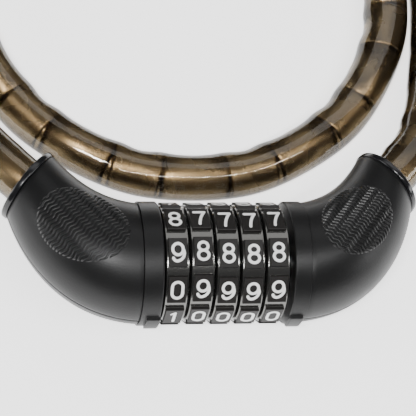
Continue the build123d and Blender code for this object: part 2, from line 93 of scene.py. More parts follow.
# %% Camera
CAMERA_SIDE = Vector((-0.194, -0.336, 0.922)).normalized()
CAMERA_DISTANCE = 600 * MM
AIM_RIGHT = -3.4 * MM
AIM_UP = 20.4 * MM
VIEW_WIDTH = 154 * MM
SENSOR = 36.0

dial_middle = Vector((DIAL_X, AXIS_Y, AXIS_Z))
eye = dial_middle + CAMERA_SIDE * CAMERA_DISTANCE
right = (Vector((1, 0, 0)) - CAMERA_SIDE * CAMERA_SIDE.x).normalized()
aim = dial_middle + right * AIM_RIGHT + CAMERA_SIDE.cross(right) * AIM_UP
forward = (aim - eye).normalized()
right = (Vector((1, 0, 0)) - forward * forward.x).normalized()
up = right.cross(forward)
camera_data = bpy.data.cameras.new("camera")
camera_data.sensor_width = SENSOR
camera_data.lens = SENSOR * CAMERA_DISTANCE / VIEW_WIDTH
camera = bpy.data.objects.new("camera", camera_data)
turn = Matrix((right, up, -forward)).transposed().to_4x4()
camera.matrix_world = Matrix.Translation(eye) @ turn
bpy.context.scene.collection.objects.link(camera)
bpy.context.scene.camera = camera
print("camera at", [round(c, 3) for c in eye], "lens", round(camera_data.lens, 1))

# %% [markdown]
# Every surface of the lock has a fine grain: the moulded plastic, the cast zinc and the ground
# steel alike. Each material could carry its own noise, but a node group holds the effect once,
# and its inputs set it for each finish. A soft noise varies the roughness and another feeds a
# small bump, so that no surface is perfectly even.

# %% Fine grain
GRAIN_DETAIL = 4.0
CLOUD_SCALE = 60.0
CLOUD_DETAIL = 3.0
GRAIN_DEPTH = 0.1 * MM


def new_group(name, inputs, outputs):
    """A shader node group with float, colour or vector sockets."""
    group = bpy.data.node_groups.new(name, "ShaderNodeTree")
    for label, kind, value in inputs:
        socket = group.interface.new_socket(label, in_out="INPUT", socket_type=kind)
        socket.default_value = value
    for label, kind in outputs:
        group.interface.new_socket(label, in_out="OUTPUT", socket_type=kind)
    return group, group.nodes.new("NodeGroupInput"), group.nodes.new("NodeGroupOutput")


def grain_group():
    """The grain's strength in, an uneven roughness and a bumped normal out."""
    inputs = [
        ("Scale", "NodeSocketFloat", 900.0),
        ("Roughness", "NodeSocketFloat", 0.4),
        ("Spread", "NodeSocketFloat", 0.08),
        ("Bump", "NodeSocketFloat", 0.1),
    ]
    outputs = [("Roughness", "NodeSocketFloat"), ("Normal", "NodeSocketVector")]
    group, given, result = new_group("fine grain", inputs, outputs)
    place = group.nodes.new("ShaderNodeTexCoord")
    noise = group.nodes.new("ShaderNodeTexNoise")
    noise.inputs["Detail"].default_value = GRAIN_DETAIL
    group.links.new(place.outputs["Object"], noise.inputs["Vector"])
    group.links.new(given.outputs["Scale"], noise.inputs["Scale"])
    cloud = group.nodes.new("ShaderNodeTexNoise")
    cloud.inputs["Scale"].default_value = CLOUD_SCALE
    cloud.inputs["Detail"].default_value = CLOUD_DETAIL
    group.links.new(place.outputs["Object"], cloud.inputs["Vector"])
    offset = group.nodes.new("ShaderNodeMath")
    offset.operation = "MULTIPLY_ADD"
    centred = group.nodes.new("ShaderNodeMath")
    centred.operation = "SUBTRACT"
    centred.inputs[1].default_value = 0.5
    group.links.new(cloud.outputs["Fac"], centred.inputs[0])
    group.links.new(centred.outputs[0], offset.inputs[0])
    group.links.new(given.outputs["Spread"], offset.inputs[1])
    group.links.new(given.outputs["Roughness"], offset.inputs[2])
    group.links.new(offset.outputs[0], result.inputs["Roughness"])
    bump = group.nodes.new("ShaderNodeBump")
    bump.inputs["Distance"].default_value = GRAIN_DEPTH
    group.links.new(given.outputs["Bump"], bump.inputs["Strength"])
    group.links.new(noise.outputs["Fac"], bump.inputs["Height"])
    group.links.new(bump.outputs["Normal"], result.inputs["Normal"])
    return group


GRAIN = grain_group()
print("grain group sockets", len(GRAIN.interface.items_tree))

# %% [markdown]
# Most finishes differ only in colour, roughness and how strong the grain is. They could be built
# one by one in the shader editor, but a function that takes those few values keeps them alike,
# and hands back the material's nodes so that a finish with more to it can go on from there. The
# working parts get their finish through their material slots, which leaves their meshes alone.

# %% Helpers for finishes


def finish_material(
    name, colour, roughness, metallic=0.0, grain=900.0, spread=0.08, bump=0.1, **extra
):
    """A Principled material with the fine grain group on its roughness and normal."""
    material = bpy.data.materials.new(name)
    material.use_nodes = True
    tree = material.node_tree
    shader = tree.nodes["Principled BSDF"]
    shader.inputs["Base Color"].default_value = (*colour, 1)
    shader.inputs["Metallic"].default_value = metallic
    for key, value in extra.items():
        shader.inputs[key.replace("_", " ")].default_value = value
    node = tree.nodes.new("ShaderNodeGroup")
    node.node_tree = GRAIN
    grain_values = {"Scale": grain, "Roughness": roughness, "Spread": spread, "Bump": bump}
    for key, value in grain_values.items():
        node.inputs[key].default_value = value
    tree.links.new(node.outputs["Roughness"], shader.inputs["Roughness"])
    tree.links.new(node.outputs["Normal"], shader.inputs["Normal"])
    return material, tree, shader, node


def dress(names, material):
    """Give CAD nodes a finish through their material slots."""
    for name in names:
        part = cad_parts[name]
        if not part.material_slots:
            part.data.materials.append(material)
        for slot in part.material_slots:
            slot.material = material


print("working parts to dress", len(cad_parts))

# %% [markdown]
# The housings are satin black soft-touch plastic, the entry rings are gloss black, and the inner
# parts are ground steel, cast zinc and turned brass. One black for all the plastic would be
# simpler, but the change from satin to gloss is what tells the mouldings apart. On the housings
# the grain is fine and the roughness wanders, which breaks up the broad highlights as handling
# does.

# %% Finishes of the lock body
DIALS = range(1, 6)
housing, *_ = finish_material(
    "soft touch black",
    (0.007, 0.007, 0.0072),
    0.4,
    grain=1500.0,
    spread=0.2,
    bump=0.45,
    Specular_IOR_Level=0.3,
)
grip_rubber, *_ = finish_material(
    "grip rubber",
    (0.006, 0.006, 0.006),
    0.36,
    grain=1500.0,
    spread=0.1,
    bump=0.2,
    Specular_IOR_Level=0.5,
)
ring_gloss, *_ = finish_material(
    "gloss black", (0.008, 0.008, 0.009), 0.18, grain=700.0, bump=0.03
)
white_paint, *_ = finish_material(
    "numeral white", (0.95, 0.95, 0.94), 0.35, grain=1200.0, bump=0.05
)
ground_steel, *_ = finish_material(
    "ground steel", (0.55, 0.55, 0.56), 0.3, metallic=1.0, bump=0.05
)
cast_zinc, *_ = finish_material("cast zinc", (0.42, 0.42, 0.44), 0.5, metallic=1.0, bump=0.3)
turned_brass, *_ = finish_material(
    "turned brass", (0.72, 0.53, 0.26), 0.3, metallic=1.0, bump=0.05
)

for side in ("left", "right"):
    dress([f"{side}_collar"], housing)
    dress([f"{side}_entry_ring"], ring_gloss)
    dress([f"{side}_anchor_block", f"{side}_ferrule"], cast_zinc)
    dress([f"{side}_anchor_pin", f"{side}_cross_pin"], ground_steel)
dress(["spindle_tube", "spacer_washers", "detent_leaf_spring"], ground_steel)
dress(["retaining_clip", "bolt_pin"], ground_steel)
dress([f"code_ring_{number}" for number in DIALS], turned_brass)
dress([f"numerals_{number}" for number in DIALS], white_paint)
print("finishes", len(bpy.data.materials))

# %% [markdown]
# A dial has two finishes in one moulding: matte facets that carry the numbers, and polished
# notches and shoulders. Two materials on chosen faces could do it, but the faces would have to be
# picked again on each dial. Here the finish changes with the distance from the dial axis, which
# is where the facets stand out, so one material serves all the dials however they are turned.

# %% Dial finish
FACET_FLOOR = 21.45 * MM
FINISH_EDGE = 0.1 * MM
FACET_COLOUR = (0.0095, 0.0082, 0.0075)
NOTCH_COLOUR = (0.15, 0.148, 0.142)
NOTCH_ROUGHNESS = 0.16
NOTCH_METALLIC = 0.9


def range_node(tree, source, low, high, out_low, out_high):
    """A Map Range node, held inside its limits."""
    node = tree.nodes.new("ShaderNodeMapRange")
    for socket, value in zip(list(node.inputs)[1:5], (low, high, out_low, out_high)):
        socket.default_value = value
    tree.links.new(source, node.inputs[0])
    return node.outputs[0]


dial_black, tree, shader, grain = finish_material(
    "dial black", FACET_COLOUR, 0.5, grain=1600.0, spread=0.1, bump=0.3, Specular_IOR_Level=0.3
)
place = tree.nodes.new("ShaderNodeTexCoord")
centre = tree.nodes.new("ShaderNodeMapping")
centre.inputs["Location"].default_value = (0, -AXIS_Y, -AXIS_Z)
centre.inputs["Scale"].default_value = (0, 1, 1)
length = tree.nodes.new("ShaderNodeVectorMath")
length.operation = "LENGTH"
tree.links.new(place.outputs["Object"], centre.inputs["Vector"])
tree.links.new(centre.outputs["Vector"], length.inputs[0])
from_axis = length.outputs["Value"]
facet = range_node(tree, from_axis, FACET_FLOOR - FINISH_EDGE, FACET_FLOOR + FINISH_EDGE, 0.0, 1.0)
rough = tree.nodes.new("ShaderNodeMix")
rough.inputs["A"].default_value = NOTCH_ROUGHNESS
tree.links.new(facet, rough.inputs["Factor"])
tree.links.new(grain.outputs["Roughness"], rough.inputs["B"])
tree.links.new(rough.outputs["Result"], shader.inputs["Roughness"])
polish = range_node(tree, facet, 0.0, 1.0, NOTCH_METALLIC, 0.0)
tree.links.new(polish, shader.inputs["Metallic"])
paint = tree.nodes.new("ShaderNodeMix")
paint.data_type = "RGBA"
paint.inputs["A"].default_value = (*NOTCH_COLOUR, 1)
paint.inputs["B"].default_value = (*FACET_COLOUR, 1)
tree.links.new(facet, paint.inputs["Factor"])
tree.links.new(paint.outputs["Result"], shader.inputs["Base Color"])
dress([f"dial_{number}" for number in DIALS], dial_black)
print("dial finish changes at", FACET_FLOOR / MM, "mm from the axis")

# %% [markdown]
# Moulded and machined parts have no perfectly sharp edges, and the small rounds catch the light.
# A Bevel modifier on the working part itself would trip over its loose triangles. So a copy of
# the part's mesh has its triangles merged into flat faces, and then its sharp edges are bevelled.
# The copy stands in for the part, which keeps doing its work unseen.

# %% How an edge is rounded
SHARP = math.radians(28)
HARD_SHADE = math.radians(40)
FLAT_ENOUGH = math.radians(0.6)
SAME_PLACE = 0.002 * MM


def sharp_edges(bm, wanted=None):
    """Edges between two faces that meet at a clear angle, and that a test accepts."""
    found = [e for e in bm.edges if e.is_manifold and e.calc_face_angle(0.0) > SHARP]
    return [e for e in found if wanted is None or wanted(e)]


def round_edges(bm, edges, width, steps):
    """Round some edges by a width in millimetres."""
    bmesh.ops.bevel(
        bm,
        geom=edges,
        offset=width * MM,
        offset_type="OFFSET",
        segments=steps,
        profile=0.5,
        affect="EDGES",
        clamp_overlap=True,
        material=-1,
    )


def rounded_copy(node, body, material, width, first=None, first_width=0.0):
    """A rounded stand-in for a part. first picks edges that get a wider round before the rest."""
    bm = bmesh.new()
    bm.from_mesh(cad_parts[node].data)
    bmesh.ops.remove_doubles(bm, verts=bm.verts, dist=SAME_PLACE)
    bmesh.ops.dissolve_limit(bm, angle_limit=FLAT_ENOUGH, verts=bm.verts, edges=bm.edges)
    if first is not None:
        round_edges(bm, sharp_edges(bm, first), first_width, 3)
    round_edges(bm, sharp_edges(bm), width, 2)
    for face in bm.faces:
        face.smooth = True
    for edge in bm.edges:
        edge.smooth = not (edge.is_manifold and edge.calc_face_angle(0.0) > HARD_SHADE)
    mesh = bpy.data.meshes.new(f"{node}_finished")
    bm.to_mesh(mesh)
    bm.free()
    mesh.materials.clear()
    mesh.materials.append(material)
    piece = bpy.data.objects.new(f"{node}_finished", mesh)
    bpy.context.scene.collection.objects.link(piece)
    weighted = piece.modifiers.new("even shading", "WEIGHTED_NORMAL")
    weighted.keep_sharp = True
    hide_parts(node)
    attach(piece, body)
    print(piece.name, "faces", len(mesh.polygons))


# %% [markdown]
# Each part has its own rounds. The facets of a dial have crisp edges, the entry rings softer
# ones, and each collar has a wide shoulder where it faces the dials. One width for all would be
# quicker, but the wide shoulder is a clear bright line on the real lock. The shoulder's edge is
# found by its place: at the collar's inner end, and far out from the dial axis.

# %% Rounded copies of the visible parts
DIAL_ROUND = 0.14
COLLAR_ROUND = 0.2
COLLAR_SHOULDER = 1.0
RING_ROUND = 0.25
COLLAR_EDGE = 22.3 * MM
END_PLAY = 0.05 * MM


def faces_dials(at_x):
    """A test for the outer edge of a collar on the side of the dials."""

    def test(edge):
        """Both ends of the edge are on the collar's inner end and far out."""
        for vertex in edge.verts:
            from_axis = math.hypot(vertex.co.y - AXIS_Y, vertex.co.z - AXIS_Z)
            if abs(vertex.co.x - at_x) > END_PLAY or from_axis < COLLAR_EDGE:
                return False
        return True

    return test


for number in DIALS:
    rounded_copy(f"dial_{number}", f"dial_{number}_body", dial_black, DIAL_ROUND)
for end_name, body in (("left", "root"), ("right", "bolt")):
    low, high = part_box(f"{end_name}_collar")
    collar, ring = f"{end_name}_collar", f"{end_name}_entry_ring"
    shoulder = faces_dials(high[0] if end_name == "left" else low[0])
    rounded_copy(
        collar, body, housing, COLLAR_ROUND, shoulder, COLLAR_SHOULDER
    )
    rounded_copy(ring, body, ring_gloss, RING_ROUND)

# %% [markdown]
# The cable makes two turns round one centre. They change places over the top, where the second
# strand climbs over the first, and both ends rise into the elbows. The route could be drawn by
# hand, but then it would drift from the frame's cable, so it is worked out by the same loop of
# the same lengths and angles. The route's points are the joints between the steel sleeves, and
# all sizes here are in millimetres and degrees.

# %% Cable route
LONG_SLEEVE = 27.5
SHORT_SLEEVE = 19.0
LOOP_CENTRE = (-4.5, 127.0)
LOOP_INNER = 88.0
LOOP_PITCH = 19.4
LOOP_START = 236.8
LOOP_END = 413.3
LEFT_FLARE = 8.5
LEFT_FLARE_POWER = 1.6
RIGHT_FLARE = 12.5
RIGHT_FLARE_FROM = 372.0
ROUTE_STEPS = 2600
SHEATH_RADIUS = 9.0
CABLE_Z = SHEATH_RADIUS
INSIDE_RUN = 3.0
FIRST_RUN = 16.5
LAST_RUN = 16.0
SPLIT_Y = 200.0
LEFT_ELBOW = [(-30.5, 0.0), (-55.5, 2.5), (-68.0, 30.0)]
RIGHT_ELBOW = [(30.5, 0.0), (56.5, 3.0), (67.2, 30.9)]
LEFT_TILT = 40.0
RIGHT_TILT = 41.0
AXIS_HEIGHT = AXIS_Z / MM


def ease(share):
    """A smooth start and stop between 0 and 1."""
    return share - math.sin(2 * math.pi * share) / (2 * math.pi)


def loop_point(turned):
    """A point of the two turns, after turning clockwise by some degrees from the left rim."""
    outer = LOOP_INNER + LOOP_PITCH
    between = LOOP_INNER + LOOP_PITCH / 2
    polar = LOOP_START - turned
    height = CABLE_Z
    if polar > 180:
        share = turned / (LOOP_START - 180)
        radius = outer + LEFT_FLARE * (1 - share) ** LEFT_FLARE_POWER
        height += (AXIS_HEIGHT - CABLE_Z) * (1 - ease(share))
    elif polar > 0:
        radius = between + LOOP_PITCH / 2 * math.cos(math.pi * ease(1 - polar / 180))
    elif polar > -180:
        radius = LOOP_INNER
    elif polar > -360:
        phase = math.pi * ease(-(polar + 180) / 180)
        radius = between - LOOP_PITCH / 2 * math.cos(phase)
        height += LOOP_PITCH * math.sin(phase)
    else:
        radius = outer
        height += (AXIS_HEIGHT - CABLE_Z) * ease(-(polar + 360) / (LOOP_END - 360))
    if polar < -RIGHT_FLARE_FROM:
        share = (-RIGHT_FLARE_FROM - polar) / (LOOP_END - RIGHT_FLARE_FROM)
        radius += RIGHT_FLARE * ease(share)
    angle = math.radians(polar)
    x = LOOP_CENTRE[0] + radius * math.cos(angle)
    y = LOOP_CENTRE[1] + radius * math.sin(angle)
    return Vector((x, y, height))


def exit_direction(tilt, side):
    """The way the cable leaves an elbow."""
    return Vector((side * math.cos(math.radians(tilt)), math.sin(math.radians(tilt)), 0))


def cable_route():
    """The sleeve joints, long and short runs in turn, with an end inside each elbow."""
    whole_turn = LOOP_START + LOOP_END
    points = [loop_point(whole_turn * i / ROUTE_STEPS) for i in range(ROUTE_STEPS + 1)]
    reach = [0.0]
    for a, b in zip(points, points[1:]):
        reach.append(reach[-1] + (b - a).length)
    marks = [FIRST_RUN]
    while marks[-1] < reach[-1] - LAST_RUN:
        marks.append(marks[-1] + (SHORT_SLEEVE if len(marks) % 2 else LONG_SLEEVE))
    stretch = (reach[-1] - FIRST_RUN - LAST_RUN) / (marks[-1] - FIRST_RUN)
    marks = [FIRST_RUN + (mark - FIRST_RUN) * stretch for mark in marks]
    left_rim = Vector((*LEFT_ELBOW[2], AXIS_HEIGHT))
    right_rim = Vector((*RIGHT_ELBOW[2], AXIS_HEIGHT))
    joints = [left_rim - exit_direction(LEFT_TILT, -1) * INSIDE_RUN]
    for mark in marks:
        nearest = min(range(ROUTE_STEPS + 1), key=lambda k: abs(reach[k] - mark))
        joints.append(points[nearest])
    joints.append(right_rim - exit_direction(RIGHT_TILT, 1) * INSIDE_RUN)
    return [lock_point(p.x, p.y, p.z) for p in joints]


route = cable_route()
print("route joints", len(route))

# %% [markdown]
# The centre line of the cable is one smooth curve along that route. A curve object with a round
# bevel would draw a plain tube at once, but the sleeves and the puckered sheath need to know
# where they are along the cable. So the curve is a NURBS spline with the route's points as its
# control points, and its own sampled points guide everything on the cable.

# %% Centre line
CURVE_STEPS = 12


def spline_points(points, steps):
    """The points of a quadratic NURBS curve that has the route as its control points."""
    curve = bpy.data.curves.new("centre line", "CURVE")
    curve.dimensions = "3D"
    spline = curve.splines.new("NURBS")
    spline.points.add(len(points) - 1)
    for control, point in zip(spline.points, points):
        control.co = (*point, 1)
    spline.order_u = 3
    spline.use_endpoint_u = True
    spline.resolution_u = steps
    holder = bpy.data.objects.new("centre line", curve)
    bpy.context.scene.collection.objects.link(holder)
    bpy.context.view_layer.update()
    settled = holder.evaluated_get(bpy.context.evaluated_depsgraph_get())
    mesh = bpy.data.meshes.new_from_object(settled)
    found = [vertex.co.copy() for vertex in mesh.vertices]
    bpy.data.objects.remove(holder)
    bpy.data.curves.remove(curve)
    bpy.data.meshes.remove(mesh)
    return found


def nearest_step(point):
    """The step of the centre line that is nearest to a point."""
    return min(range(len(centre_line)), key=lambda k: (centre_line[k] - point).length)


centre_line = spline_points(route, CURVE_STEPS)
reach = [0.0]
for a, b in zip(centre_line, centre_line[1:]):
    reach.append(reach[-1] + (b - a).length)
joint_steps = [nearest_step(point) for point in route]
split_joint = max(i for i in range(len(route)) if route[i].y > lock_point(0, SPLIT_Y).y)
split_step = (joint_steps[split_joint] + joint_steps[split_joint + 1]) // 2
last_step = len(centre_line) - 1
print("centre line", len(centre_line), "points, split at joint", split_joint)
print("cable length", round(reach[-1], 4), "m")

# %% [markdown]
# The sheath, the rope and the elbows are all tubes that follow a line. Extruding a ring step by
# step would do, but each step would have to be turned and scaled after the last. Here a flat grid
# is rolled up: its rows become the round sections, each at its own place with its own radii. Each
# section takes its twist from the one before, so the tube doesn't spin.

# %% Sweeping a section along a line
SAME_POINT = 0.0001 * MM


def sweep_frames(points):
    """A turning frame at each point: the way along, a side and an up that never spin."""
    frames = []
    side = Vector((0, 0, 1)).cross((points[1] - points[0])).normalized()
    for i, point in enumerate(points):
        ahead = (points[min(i + 1, len(points) - 1)] - points[max(i - 1, 0)]).normalized()
        side = (side - ahead * side.dot(ahead)).normalized()
        frames.append((point, ahead, side, ahead.cross(side)))
    return frames


def mesh_object(name, bm, material, smooth=True):
    """Finish a bmesh as an object in the scene, with one material."""
    for face in bm.faces:
        face.smooth = smooth
    mesh = bpy.data.meshes.new(name)
    bm.to_mesh(mesh)
    bm.free()
    mesh.materials.append(material)
    piece = bpy.data.objects.new(name, mesh)
    bpy.context.scene.collection.objects.link(piece)
    return piece


def sweep_skin(bm, frames, segments, radius_at):
    """Roll a grid into a tube along the frames. radius_at takes a step and an angle."""
    steps = len(frames) - 1
    grid = bmesh.ops.create_grid(bm, x_segments=segments, y_segments=steps, size=0.5)["verts"]
    for vertex in grid:
        angle = 2 * math.pi * (round((vertex.co.x + 0.5) * segments) % segments) / segments
        step = round((vertex.co.y + 0.5) * steps)
        point, _, side, lift = frames[step]
        radius = radius_at(step, angle)
        vertex.co = point + side * math.cos(angle) * radius + lift * math.sin(angle) * radius
    bmesh.ops.remove_doubles(bm, verts=grid, dist=SAME_POINT)


frames = sweep_frames(centre_line)
print("sections along the cable", len(frames))

# %% [markdown]
# The clear sheath is a soft tube pulled over the sleeves. It bridges the joints, and on the
# inside of each bend it puckers outwards, which gives the cable its uneven outline. A plain tube
# with a bumpy material would keep a smooth outline, so the pucker is in the shape: the radius
# grows near each joint on the inner side. The tube has an outer and an inner wall, as light bends
# at both of them.

# %% Clear sheath
SHEATH_SEGMENTS = 48
PUCKER = 1.6 * MM
PUCKER_LENGTH = 4.2 * MM
BETWEEN_PUCKERS = 0.2
BEND_STEPS = 8
SHEATH_WALL = 0.5 * MM
RIM_REACH = 10.5 * MM


def bend_side(step):
    """The direction towards the inside of the bend at a step."""
    back = centre_line[max(step - BEND_STEPS, 0)]
    front = centre_line[min(step + BEND_STEPS, last_step)]
    inward = (back + front) / 2 - centre_line[step]
    return inward.normalized() if inward.length > 1e-6 else Vector((0, 0, 0))


def sheath_radius(first, inset):
    """The sheath's radius: even, but puckered at each joint on the inside of the bend."""
    inward = {}

    def radius(step, angle):
        """The radius at a step of this stretch, for an angle round the section."""
        i = step + first
        if i not in inward:
            _, _, side, lift = frames[i]
            toward = bend_side(i)
            near = min(abs(reach[i] - reach[j]) for j in joint_steps)
            strength = math.exp(-((near / PUCKER_LENGTH) ** 2))
            inward[i] = (toward.dot(side), toward.dot(lift), strength)
        across, along, strength = inward[i]
        facing = max(0.0, math.cos(angle) * across + math.sin(angle) * along)
        return SHEATH_RADIUS * MM - inset + PUCKER * (facing**2) * (strength - BETWEEN_PUCKERS)

    return radius


def sheath_piece(name, first, last, material):
    """One stretch of the sheath with its outer and inner walls, closed at both ends."""
    bm = bmesh.new()
    sweep_skin(bm, frames[first : last + 1], SHEATH_SEGMENTS, sheath_radius(first, 0.0))
    sweep_skin(bm, frames[first : last + 1], SHEATH_SEGMENTS, sheath_radius(first, SHEATH_WALL))
    open_edges = [e for e in bm.edges if e.is_boundary]
    for at in (frames[first][0], frames[last][0]):
        rims = [e for e in open_edges if all((v.co - at).length < RIM_REACH for v in e.verts)]
        bmesh.ops.bridge_loops(bm, edges=rims)
    bmesh.ops.recalc_face_normals(bm, faces=bm.faces)
    print(name, "faces", len(bm.faces))
    return mesh_object(name, bm, material)


# %% [markdown]
# The sheath is smoky and clear: straight through, the sleeves show in a warm bronze, and towards
# the edges, where the light crosses more of the plastic, it turns nearly black. A volume inside
# the wall could do this and would be slow and noisy. A tint that deepens as the surface turns
# away does the same. Light that only passes through goes by a transparent shader, so that the
# sleeves don't lie in a hard shadow.

# %% Sheath finish
SHEATH_ROUGHNESS = 0.04
SHEATH_IOR = 1.38
TINT_THROUGH = (0.84, 0.80, 0.72, 1)
TINT_AT_EDGE = (0.04, 0.03, 0.02, 1)
TINT_IN_SHADOW = (0.84, 0.77, 0.68, 1)
TINT_FROM, TINT_TO = 0.35, 0.75
clear_pvc = bpy.data.materials.new("smoky clear sheath")
clear_pvc.use_nodes = True
tree = clear_pvc.node_tree
shader = tree.nodes["Principled BSDF"]
shader.inputs["Roughness"].default_value = SHEATH_ROUGHNESS
shader.inputs["IOR"].default_value = SHEATH_IOR
shader.inputs["Transmission Weight"].default_value = 1.0
edge_on = tree.nodes.new("ShaderNodeLayerWeight")
edge_on.inputs["Blend"].default_value = 0.5
thick = range_node(tree, edge_on.outputs["Facing"], TINT_FROM, TINT_TO, 0.0, 1.0)
tint = tree.nodes.new("ShaderNodeMix")
tint.data_type = "RGBA"
tint.inputs["A"].default_value = TINT_THROUGH
tint.inputs["B"].default_value = TINT_AT_EDGE
tree.links.new(thick, tint.inputs["Factor"])
tree.links.new(tint.outputs["Result"], shader.inputs["Base Color"])
light_path = tree.nodes.new("ShaderNodeLightPath")
clear = tree.nodes.new("ShaderNodeBsdfTransparent")
clear.inputs["Color"].default_value = TINT_IN_SHADOW
either = tree.nodes.new("ShaderNodeMixShader")
tree.links.new(light_path.outputs["Is Shadow Ray"], either.inputs["Fac"])
tree.links.new(shader.outputs["BSDF"], either.inputs[1])
tree.links.new(clear.outputs["BSDF"], either.inputs[2])
tree.links.new(either.outputs["Shader"], tree.nodes["Material Output"].inputs["Surface"])

sheath_main = sheath_piece("sheath_long_run", 0, split_step, clear_pvc)
sheath_end = sheath_piece("sheath_bolt_end", split_step, last_step, clear_pvc)

# %% [markdown]
# The steel rope runs through the sleeves, and shows only in the gaps. Six twisted curves would be
# truer, but nobody could see the difference. One skin is enough: its section has six lobes for
# its strands, and turning the section from step to step lays the strands round the rope.

# %% Steel rope
ROPE_RADIUS = 4.0 * MM
STRAND_DEPTH = 0.45 * MM
LAY_LENGTH = 34.0 * MM
STRANDS = 6
ROPE_SEGMENTS = 36


def rope_radius(first):
    """The rope's radius, with a groove between each two strands."""

    def radius(step, angle):
        """The radius at a step of this stretch, for an angle round the section."""
        twist = 2 * math.pi * reach[step + first] / LAY_LENGTH
        return ROPE_RADIUS - STRAND_DEPTH * (1 - abs(math.sin(STRANDS / 2 * (angle + twist))))

    return radius


def rope_piece(name, first, last):
    """One stretch of the rope, closed at both ends."""
    bm = bmesh.new()
    sweep_skin(bm, frames[first : last + 1], ROPE_SEGMENTS, rope_radius(first))
    bmesh.ops.holes_fill(bm, edges=[e for e in bm.edges if e.is_boundary], sides=0)
    bmesh.ops.recalc_face_normals(bm, faces=bm.faces)
    return mesh_object(name, bm, ground_steel)


rope_main = rope_piece("rope_long_run", 0, split_step)
rope_end = rope_piece("rope_bolt_end", split_step, last_step)
print("rope lay", LAY_LENGTH)

# %% [markdown]
# The steel sleeves stop a saw. The long sleeve has a rounded ball end that sits in the short
# sleeve's socket, and both have soft shoulders that catch the light at every joint. A cylinder
# with a bevel would be close, but a real sleeve is turned on a lathe, and so is this one: its
# outline is spun about its axis. One pattern of each kind is made and then copied along the
# cable, stretched a little to fit the space between its joints.

# %% Steel sleeves
SLEEVE_RADIUS = 8.1
SLEEVE_STEPS = 40
SLEEVE_SAME_PLACE = 0.001 * MM


def sleeve_profile(length, is_long):
    """The outline of a sleeve as (radius, height) pairs in millimetres, from end to end."""
    half = length / 2
    if is_long:
        near = [(5.2, half + 3.0), (6.0, half + 1.6), (6.3, half), (6.1, half - 0.8)]
        near += [(6.5, half - 0.95), (7.1, half - 1.1), (7.5, half - 1.4), (7.72, half - 1.9)]
        near += [(SLEEVE_RADIUS, half - 2.8)]
    else:
        near = [(6.5, half - 2.4), (6.6, half - 0.4), (6.9, half - 0.05), (7.25, half + 0.05)]
        near += [(7.6, half - 0.15), (SLEEVE_RADIUS - 0.03, half - 0.6)]
        near += [(SLEEVE_RADIUS, half - 1.3)]
    return near + [(r, -z) for r, z in reversed(near)]


def lathe(bm, outline, segments):
    """Spin an outline about Z into a skin."""
    vertices = [bm.verts.new((r * MM, 0, z * MM)) for r, z in outline]
    edges = [bm.edges.new(pair) for pair in zip(vertices, vertices[1:])]
    bmesh.ops.spin(
        bm,
        geom=vertices + edges,
        axis=(0, 0, 1),
        cent=(0, 0, 0),
        angle=2 * math.pi,
        steps=segments,
        use_merge=True,
    )


def sleeve_group(name, first, last, is_long, material):
    """All the long or all the short sleeves between two joints, as one mesh."""
    bm = bmesh.new()
    count = 0
    turned = bmesh.new()
    nominal = LONG_SLEEVE if is_long else SHORT_SLEEVE
    lathe(turned, sleeve_profile(nominal, is_long), SLEEVE_STEPS)
    pattern = bpy.data.meshes.new("sleeve pattern")
    turned.to_mesh(pattern)
    turned.free()
    for index in range(first, last):
        if (index % 2 == 0) != is_long:
            continue
        start = centre_line[joint_steps[index]]
        end = centre_line[joint_steps[index + 1]]
        stretch = ((end - start).length - nominal * MM) / 2
        turned_along = (end - start).to_track_quat("Z", "Y").to_matrix()
        made = len(bm.verts)
        bm.from_mesh(pattern)
        bm.verts.ensure_lookup_table()
        for vertex in bm.verts[made:]:
            vertex.co.z += math.copysign(stretch, vertex.co.z)
            vertex.co = (start + end) / 2 + turned_along @ vertex.co
        count += 1
    bpy.data.meshes.remove(pattern)
    bmesh.ops.remove_doubles(bm, verts=bm.verts, dist=SLEEVE_SAME_PLACE)
    bmesh.ops.recalc_face_normals(bm, faces=bm.faces)
    print(name, "sleeves", count)
    return mesh_object(name, bm, material)


sleeve_metal, *_ = finish_material(
    "bronze nickel", (0.19, 0.155, 0.103), 0.27, metallic=1.0, grain=500.0, spread=0.14, bump=0.015
)
first_end = split_joint + 1
last_joint = len(route) - 1
long_main = sleeve_group("long_sleeves", 0, first_end, True, sleeve_metal)
short_main = sleeve_group("short_sleeves", 0, first_end, False, sleeve_metal)
long_end = sleeve_group("long_sleeves_bolt_end", first_end, last_joint, True, sleeve_metal)
short_end = sleeve_group("short_sleeves_bolt_end", first_end, last_joint, False, sleeve_metal)

# %% [markdown]
# The lock opens by pulling the right end away, and the cable has to follow. An armature or a hook
# could bend it, but the object is reused elsewhere without them. Instead the long run is carried
# by the left end's body and lies still with it, and the last stretch keeps its place baked into
# its mesh.

# %% Which body carries the cable
main_pieces = [
    (sheath_main, "sheath_main", "clear_sheath"),
    (rope_main, "core_main", "steel_rope"),
    (long_main, "sleeves_long_main", "nickel_sleeve"),
    (short_main, "sleeves_short_main", "nickel_sleeve"),
]
end_pieces = [
    (sheath_end, "sheath_end", "clear_sheath"),
    (rope_end, "core_end", "steel_rope"),
    (long_end, "sleeves_long_end", "nickel_sleeve"),
    (short_end, "sleeves_short_end", "nickel_sleeve"),
]
for piece, node, slot_name in main_pieces:
    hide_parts(node)
    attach(piece, "root")
for piece, node, slot_name in end_pieces:
    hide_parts(node)
    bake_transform(piece)

print("long run", round(reach[split_step], 3), "m of", round(reach[-1], 3), "m")

# %% [markdown]
# Each elbow leads the cable into the lock: a shell that turns and narrows towards the cable, in
# two halves that meet at a parting line. A loft would need its own curve tools, so the rolled grid
# serves again, with its rows along the elbow's centre line and its radius shrinking on the way.
# The skin is cut at the parting line, and modifiers give each half its wall and soften its edges.

